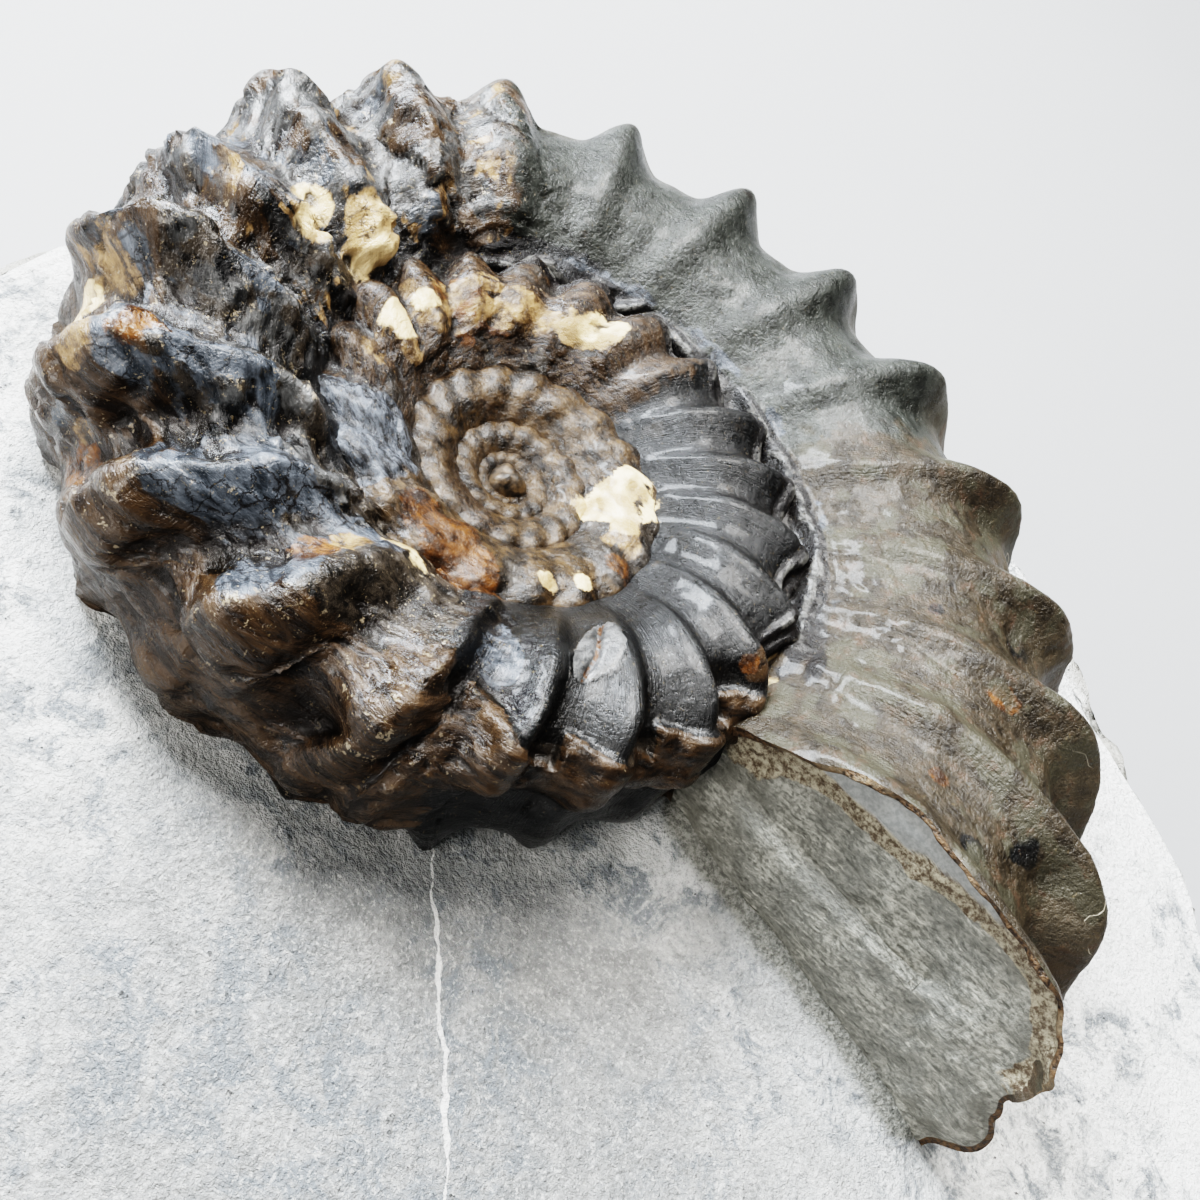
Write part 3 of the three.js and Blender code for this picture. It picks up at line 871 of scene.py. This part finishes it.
# The colour zones in the order they are laid: grain, darkest and palest colour.
ZONE_COLOURS = {
    "silver": ("layered", (0.024, 0.024, 0.024), (0.13, 0.13, 0.128)),
    "slate": ("coarse", (0.015, 0.016, 0.013), (0.05, 0.053, 0.047)),
    "olive": ("streaked", (0.015, 0.0115, 0.0075), (0.056, 0.044, 0.029)),
    "tan": ("coarse", (0.006, 0.004, 0.002), (0.11, 0.07, 0.034)),
    "black": ("mid", (0.003, 0.003, 0.003), (0.011, 0.011, 0.011)),
    "brown": ("layered", (0.007, 0.0045, 0.003), (0.066, 0.041, 0.022)),
    "blue": ("layered", (0.018, 0.022, 0.027), (0.13, 0.146, 0.168)),
    "amber": ("coarse", (0.025, 0.011, 0.004), (0.17, 0.072, 0.02)),
    "gold": ("coarse", (0.06, 0.035, 0.016), (0.33, 0.215, 0.1)),
    "cream": ("mid", (0.36, 0.25, 0.125), (0.82, 0.62, 0.35)),
}


class Grains:
    """What the shell's colours and relief share: numbers of the mesh, and noises."""

    def __init__(self, n):
        self.growth, self.across, self.rough, _ = n.layer("coil")
        self.mid, self.wide, self.edge, self.ridge = n.layer("mottle")
        for key, names in ZONE_SETS.items():
            vars(self).update(zip(names, n.layer(key)))
        self.fine = n.noise(0.4, 4, 0.7)
        self.coarse = n.noise(1.1, 5, 0.68)
        # Flaked layers run along the coil, and growth lines along the ribs.
        flaked = n.at(n.times(self.growth, 0.02), n.times(self.across, 0.028))
        self.layered = n.noise(1.0, 5, 0.72, 0.3, flaked)
        wavy = n.plus(self.growth, n.times(self.mid, 0.008))
        grown = n.at(n.times(wavy, 0.15), n.times(self.across, 0.006))
        self.lines = n.noise(0.55, 3, 0.65, 0.0, grown)
        self.streaked = n.plus(n.times(self.lines, 0.25), n.times(self.coarse, 0.75))
        self.older = n.ramp(self.growth, 4.3, 6.5)


def zone_colours(n, g):
    """The colour zones laid over each other, each with its own grain and a jagged border."""
    jag = n.minus(n.plus(n.times(g.fine, 0.3), n.times(g.layered, 0.6)), 0.45)
    jags = (n.times(jag, -1.0), jag)
    colour = n.mix(n.ramp(g.coarse, 0.35, 0.65), *BARE_SHELL)
    for step, (name, (grain, dark, pale)) in enumerate(ZONE_COLOURS.items()):
        own = n.mix(n.ramp(getattr(g, grain), 0.34, 0.66), dark, pale)
        ragged = n.plus(getattr(g, name), jags[step % 2])
        colour = n.mix(n.ramp(ragged, 0.42, 0.6), colour, own)
    return colour


def last_rib_marks(n, g):
    """Paler tops, olive and reddish clouds and pale hairlines on the last ribs."""
    last_ribs = n.ramp(g.olive, 0.3, 0.7)
    sharp_ribs = n.ramp(n.larger(g.olive, g.slate), 0.3, 0.7)
    hairline = n.ramp(n.math("ABSOLUTE", n.minus(g.wide, 0.5)), 0.007, 0.002)
    hairline = n.times(n.times(hairline, last_ribs), n.ramp(g.across, 0.36, 0.28))
    hairline = n.times(hairline, n.ramp(g.mid, 0.46, 0.56))
    return [
        (n.times(n.ramp(g.across, 0.4, 0.28, 0.0, 0.35), sharp_ribs), (0.12, 0.1, 0.07)),
        (n.times(last_ribs, n.ramp(g.mid, 0.5, 0.64, 0.0, 0.75)), (0.062, 0.058, 0.041)),
        (n.times(last_ribs, n.ramp(g.coarse, 0.56, 0.68, 0.0, 0.6)), (0.075, 0.043, 0.028)),
        (n.times(hairline, 0.8), (0.5, 0.46, 0.38)),
    ]


def seam_marks(n, g):
    """The crust along the seam, dark with paler folds, and the darker older whorls."""
    folds = n.plus(g.crust, n.spread(g.fine, 0.5))
    folds = n.plus(folds, n.spread(g.coarse, 2.2, 0.56))
    depth = n.ramp(g.layered, 0.35, 0.6, 0.7, 0.1)
    return [
        (n.ramp(g.crust, 0.08, 0.25, 0.0, 0.92), (0.009, 0.008, 0.008)),
        (n.ramp(folds, 0.66, 0.95, 0.0, 0.75), (0.12, 0.118, 0.11)),
        (n.times(g.older, n.ramp(g.cream, 0.6, 0.4, 0.0, depth)), (0.008, 0.005, 0.003)),
    ]


def dirt_shade_and_wear(n, g):
    """Dirt in the cracks, dirt and painted shade in the hollows, painted shade along the seams,
    pale wear on the edges and fine gold speckle.
    """
    warped_place = n.vector("ADD", n.place, n.times(g.coarse, 1.6 * MM))[0]
    crackled = n.times(n.ramp(g.blue, 0.35, 0.6), n.ramp(g.wide, 0.42, 0.6))
    cracked = n.times(n.ramp(n.cracks(1.3, warped_place), 0.06, 0.015), crackled)
    # Painted shade: every hollow is darkened, more on the weathered and older shell where dirt
    # gathers, and the seams between the whorls are darkened too.
    sunk = n.ramp(n.plus(g.edge, n.times(g.ridge, 0.6)), 0.76, 0.5)
    hollow_darkening = n.larger(n.ramp(g.rough, 0.1, 0.6, 0.45, 0.92), n.times(g.older, 0.85))
    dirt_and_shade = n.larger(n.times(sunk, hollow_darkening), n.times(g.seam, 0.85))
    worn = n.plus(n.ramp(g.edge, 0.62, 0.95, 0.0, 0.1), n.ramp(g.rough, 0.1, 0.9, -0.06, 0.02))
    worn = n.minus(worn, n.times(g.older, 0.1))
    fleck = n.ramp(n.plus(n.noise(0.6, 3, 0.8), worn), 0.64, 0.7)
    even = n.ramp(n.larger(g.black, g.olive), 0.3, 0.7, 0.6, 0.15)
    speck = n.ramp(n.noise(0.25, 2, 0.5), 0.67, 0.73)
    return [
        (n.times(cracked, 0.8), (0.008, 0.006, 0.005)),
        (dirt_and_shade, (0.008, 0.006, 0.0045)),
        (n.times(fleck, even), (0.36, 0.3, 0.21)),
        (n.times(speck, n.ramp(g.rough, 0.1, 0.6, 0.1, 0.16)), (0.5, 0.38, 0.2)),
    ]


def shell_relief(n, g):
    """Relief finer than the mesh: flaked layers, growth lines and a fine grain."""
    lined = n.larger(g.olive, n.times(g.black, 0.75))
    grainy = n.larger(g.olive, g.slate)
    relief = n.times(g.layered, n.ramp(g.rough, 0.05, 0.9, 0.08, 0.34))
    relief = n.plus(relief, n.times(g.lines, n.ramp(lined, 0.2, 0.8, 0.02, 0.09)))
    return n.plus(relief, n.times(g.fine, n.ramp(grainy, 0.2, 0.7, 0.09, 0.21)))


def shell_roughness(n, g):
    """Glossiest on the corroded ribs, dullest on the knobs of the last ribs."""
    dull = n.plus(n.ramp(g.fine, 0.3, 0.75, 0.25, 0.4), n.times(g.older, -0.03))
    dull = n.minus(dull, n.ramp(g.rough, 0.2, 0.7, 0.0, 0.2))
    knobs = n.times(n.ramp(g.across, 0.32, 0.2, 0.0, 0.18), n.ramp(g.growth, 1.5, 1.2))
    return n.plus(dull, knobs)


def shell_material():
    n = Nodes("lacquered_fossil_shell")
    g = Grains(n)
    colour = zone_colours(n, g)
    for marks in (last_rib_marks, seam_marks, dirt_shade_and_wear):
        colour = n.tinted(colour, marks(n, g))
    normal = n.bump(shell_relief(n, g), 1.0)
    gloss = {"Specular_IOR_Level": 0.47, "Coat_Weight": 0.12, "Coat_Roughness": 0.12}
    return n.finish(colour, shell_roughness(n, g), normal, **gloss)


SCRATCH_TILT = 0.35  # of the scratches on the mouth stone, in radians
SCRATCH_STRETCH = 0.34


def mouth_stone_colour(n, fine, wide, scratches, outer):
    """Grey stone with light and dark scratches, browner towards the wall."""
    grain = n.plus(n.times(fine, 0.55), n.times(scratches, 0.45))
    stone = n.mix(n.ramp(grain, 0.4, 0.6), (0.16, 0.16, 0.142), (0.39, 0.385, 0.345))
    return n.tinted(stone, [
        (n.ramp(wide, 0.42, 0.6, 0.0, 0.55), (0.15, 0.152, 0.14)),
        (n.ramp(scratches, 0.6, 0.7, 0.0, 0.6), (0.62, 0.6, 0.53)),
        (n.ramp(scratches, 0.4, 0.31, 0.0, 0.6), (0.07, 0.068, 0.058)),
        (n.times(outer, n.ramp(wide, 0.4, 0.6, 0.2, 0.75)), (0.12, 0.115, 0.095)),
    ])


def mouth_material():
    n = Nodes("stone_in_the_mouth")
    wall, crumbs, outer, crescent = n.layer("mouth")
    turned = n.mapping(n.place, Rotation=(0.0, SCRATCH_TILT, -math.radians(MOUTH)))
    stretched = n.mapping(turned, Scale=(SCRATCH_STRETCH, 1.0, 1.0))
    scratches = n.noise(0.3, 3, 0.65, 0.0, stretched)
    fine = n.noise(0.3, 3, 0.65)
    wide = n.noise(3.5, 4, 0.6)
    stone = mouth_stone_colour(n, fine, wide, scratches, outer)
    crumb = n.ramp(n.noise(0.5, 4, 0.8), 0.38, 0.62)
    crumb = n.mix(crumb, (0.085, 0.06, 0.038), (0.38, 0.345, 0.265))
    ragged = n.plus(crumbs, n.spread(n.noise(1.2, 4, 0.7), 1.6))
    stone = n.mix(n.ramp(ragged, 0.62, 0.85), stone, crumb)
    grey = n.mix(n.ramp(fine, 0.3, 0.7), (0.21, 0.215, 0.212), (0.32, 0.325, 0.315))
    stone = n.mix(crescent, stone, grey)
    # The broken edge of the shell.
    edge = n.mix(n.ramp(fine, 0.35, 0.65), (0.018, 0.011, 0.006), (0.13, 0.08, 0.042))
    edge = n.mix(n.ramp(wide, 0.5, 0.6, 0.0, 0.4), edge, (0.3, 0.24, 0.16))
    colour = n.mix(n.ramp(wall, 0.35, 0.65), stone, edge)
    rough = n.times(n.minus(1.0, crescent), n.plus(fine, n.times(scratches, 0.7)))
    roughness = n.ramp(fine, 0.3, 0.7, 0.45, 0.7)
    return n.finish(colour, roughness, n.bump(rough, 0.2), Specular_IOR_Level=0.5)


PAINTED_SHADE_MIDDLE = (22, -34, -4)  # middle of the painted shade that greys the front of the block's top
PAINTED_SHADE_REACH = 40
VEIN_START = (12.4, -19.6, 0)
VEIN_WAY = (0.653, -0.757)


def rock_top_colour(n, grain, mid, wide):
    """Pale stone, greyed towards the front by painted shade, with bluish blotches and a fine grain.
    """
    middle = tuple(ORIGIN + Vector(PAINTED_SHADE_MIDDLE) * MM)
    # Painted shade: the nearer the middle of the shaded part, the darker the stone.
    away = n.vector("DISTANCE", n.place, middle)["Value"]
    grey = n.plus(n.math("DIVIDE", away, PAINTED_SHADE_REACH * MM), n.times(wide, 0.8))
    pale = n.mix(n.ramp(mid, 0.3, 0.7), (0.84, 0.84, 0.82), (1.0, 0.995, 0.98))
    dark = n.mix(n.ramp(mid, 0.3, 0.7), (0.25, 0.255, 0.252), (0.41, 0.41, 0.402))
    top = n.mix(n.ramp(grey, 0.7, 1.4), dark, pale)
    patch = n.noise(2.6, 6, 0.75, 0.6)
    blotch = n.times(n.ramp(wide, 0.38, 0.58), n.ramp(patch, 0.43, 0.6))
    return n.tinted(top, [
        (n.times(blotch, 0.9), (0.2, 0.222, 0.24)),
        (n.ramp(grain, 0.53, 0.66, 0.0, 0.4), (0.86, 0.85, 0.82)),
        (n.ramp(grain, 0.47, 0.34, 0.0, 0.5), (0.2, 0.2, 0.195)),
    ])


def rock_side_colour(n, side, mid):
    """The broken sides of the block, pale and bedded."""
    broken = n.mix(n.ramp(mid, 0.3, 0.7), (0.6, 0.595, 0.57), (0.85, 0.84, 0.8))
    beds = n.mapping(n.place, Scale=(0.25, 0.25, 1.0))
    bedded = n.ramp(n.noise(2.2, 5, 0.7, 0.5, beds), 0.4, 0.6, 0.35, 0.8)
    return n.tinted(broken, [
        (n.ramp(n.noise(1.2, 5, 0.75), 0.55, 0.66, 0.0, 0.5), (0.5, 0.49, 0.45)),
        (n.times(n.ramp(side, 0.75, 1.0), bedded), (0.36, 0.345, 0.31)),
    ])


def vein_mask(n):
    """1 on the thin calcite vein, which runs almost straight across the block."""
    start = tuple(ORIGIN + Vector(VEIN_START) * MM)
    across = Vector((VEIN_WAY[1], -VEIN_WAY[0], 0)).normalized()
    from_start = n.vector("SUBTRACT", n.place, start)[0]
    aside = n.vector("DOT_PRODUCT", from_start, tuple(across))["Value"]
    aside = n.math("ABSOLUTE", n.plus(aside, n.spread(n.noise(3.0, 4, 0.6), 1.6 * MM)))
    width = n.ramp(n.noise(1.6, 3), 0.3, 0.7, 0.05 * MM, 0.2 * MM)
    return n.ramp(n.math("DIVIDE", aside, width), 1.2, 0.7)


def rock_material():
    n = Nodes("air_abraded_limestone")
    side, beside, front, _ = n.layer("rock")
    grain = n.noise(0.28, 3, 0.75)
    mid = n.noise(1.3, 5, 0.7)
    wide = n.noise(8.0, 4, 0.62, 0.7)
    top = rock_top_colour(n, grain, mid, wide)
    colour = n.mix(n.ramp(side, 0.2, 0.7), top, rock_side_colour(n, side, mid))
    mouth_stone = n.mix(n.ramp(grain, 0.38, 0.62), (0.17, 0.17, 0.152), (0.36, 0.355, 0.32))
    before_it = n.ramp(n.plus(front, n.spread(mid, 0.5)), 0.25, 0.6, 0.0, 0.95)
    speck = n.ramp(n.noise(0.45, 2, 0.6), 0.68, 0.73)
    speck = n.times(speck, n.ramp(wide, 0.45, 0.6, 0.1, 1.0))
    # The first tint is painted shade: mid grey in the crease close round the shell.
    colour = n.tinted(colour, [
        (n.ramp(beside, 0.25, 0.0, 0.0, 0.3), (0.6, 0.6, 0.58)),
        (before_it, mouth_stone),
        (n.times(speck, 0.85), (0.07, 0.07, 0.068)),
        (n.times(vein_mask(n), 0.95), (0.88, 0.87, 0.85)),
    ])
    normal = n.bump(n.noise(0.45, 4, 0.75), 0.8)
    return n.finish(colour, 0.92, normal, Specular_IOR_Level=0.25)


def floor_material():
    n = Nodes("pale_floor")
    colour = n.mix(n.noise(60, 2), (0.3, 0.302, 0.306), (0.32, 0.322, 0.326))
    return n.finish(colour, 0.8, n.bump(n.noise(2.0), 0.05))


# --- Stage, lights and camera ---

FLOOR_HALF = 2.5  # in metres
SKY = (0.9, 0.95, 1.0, 1)
SKY_STRENGTH = 0.07
# Lights: name, place from the coil's origin and size in metres, power, colour.
LIGHTS = [
    ("window", (-0.12, 0.36, 0.52), (0.55, 0.55), 1.75, (0.95, 0.98, 1.0)),
    ("key", (-0.12, 0.15, 0.46), (0.2, 0.2), 3.4, (1.0, 0.975, 0.94)),
    ("above", (0.0, 0.0, 0.7), (0.8, 0.8), 1.5, (0.95, 0.98, 1.0)),
    ("side", (-0.45, 0.12, 0.34), (0.16, 0.3), 10.2, (0.88, 0.94, 1.0)),
    ("front", (-0.15, -0.45, 0.35), (0.2, 0.2), 2.4, (1.0, 0.98, 0.95)),
]
CAMERA_PLACE = (10.67, -58.14, 61.02)  # from the coil's origin, in millimetres
CAMERA_AZIMUTH = 1.4
CAMERA_ELEVATION = 47.1
CAMERA_ROLL = 42.2
CAMERA_LENS = 40.45


def make_floor():
    half = FLOOR_HALF
    points = [(-half, -half, 0), (half, -half, 0), (half, half, 0), (-half, half, 0)]
    mesh = bpy.data.meshes.new("floor")
    mesh.from_pydata(points, [], [(0, 1, 2, 3)])
    mesh.update()
    floor = bpy.data.objects.new("floor", mesh)
    bpy.context.scene.collection.objects.link(floor)
    mesh.materials.append(floor_material())


def aim(thing, place, target, roll=0.0):
    """Puts a light or camera at place, looking at target, turned by roll degrees."""
    way = (Vector(target) - Vector(place)).normalized()
    turned = way.to_track_quat("-Z", "Y").to_matrix() @ Matrix.Rotation(math.radians(roll), 3, "Z")
    thing.matrix_world = Matrix.Translation(Vector(place)) @ turned.to_4x4()


def make_light(name, place, size, power, colour):
    light = bpy.data.lights.new(name, "AREA")
    light.shape = "RECTANGLE"
    light.size, light.size_y = size
    light.energy = power
    light.color = colour
    lamp = bpy.data.objects.new(name, light)
    bpy.context.scene.collection.objects.link(lamp)
    aim(lamp, ORIGIN + Vector(place), ORIGIN)


def make_world():
    scene = bpy.context.scene
    scene.view_settings.view_transform = "Filmic"
    scene.view_settings.look = "Very High Contrast"
    world = bpy.data.worlds.new("studio")
    scene.world = world
    world.use_nodes = True
    world.node_tree.nodes["Background"].inputs[0].default_value = SKY
    world.node_tree.nodes["Background"].inputs[1].default_value = SKY_STRENGTH


def make_camera():
    camera = bpy.data.cameras.new("camera")
    camera.sensor_width = 36
    camera.lens = CAMERA_LENS
    camera.clip_start = 0.005
    camera.clip_end = 20
    holder = bpy.data.objects.new("camera", camera)
    bpy.context.scene.collection.objects.link(holder)
    azimuth, elevation = math.radians(CAMERA_AZIMUTH), math.radians(CAMERA_ELEVATION)
    level = math.cos(elevation)
    way = Vector((-math.sin(azimuth) * level, math.cos(azimuth) * level, -math.sin(elevation)))
    place = ORIGIN + Vector(CAMERA_PLACE) * MM
    aim(holder, place, place + way, CAMERA_ROLL)
    bpy.context.scene.camera = holder


def dress():
    """Makes every piece of the object, with its material and its place in the frame."""
    shell, rim, stations = make_shell()
    shell.append(make_first_chamber())
    mouth = make_mouth(rim, stations)
    block = make_block()
    lacquer = shell_material()
    for piece in shell:
        piece.data.materials.append(lacquer)
    mouth.data.materials.append(mouth_material())
    block.data.materials.append(rock_material())
    for piece in [*shell, mouth]:
        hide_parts("ammonite")
    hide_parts("matrix")
    for piece in [*shell, mouth, block]:
        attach(piece, "root")


make_camera()
make_floor()
make_world()
for light in LIGHTS:
    make_light(*light)
dress()
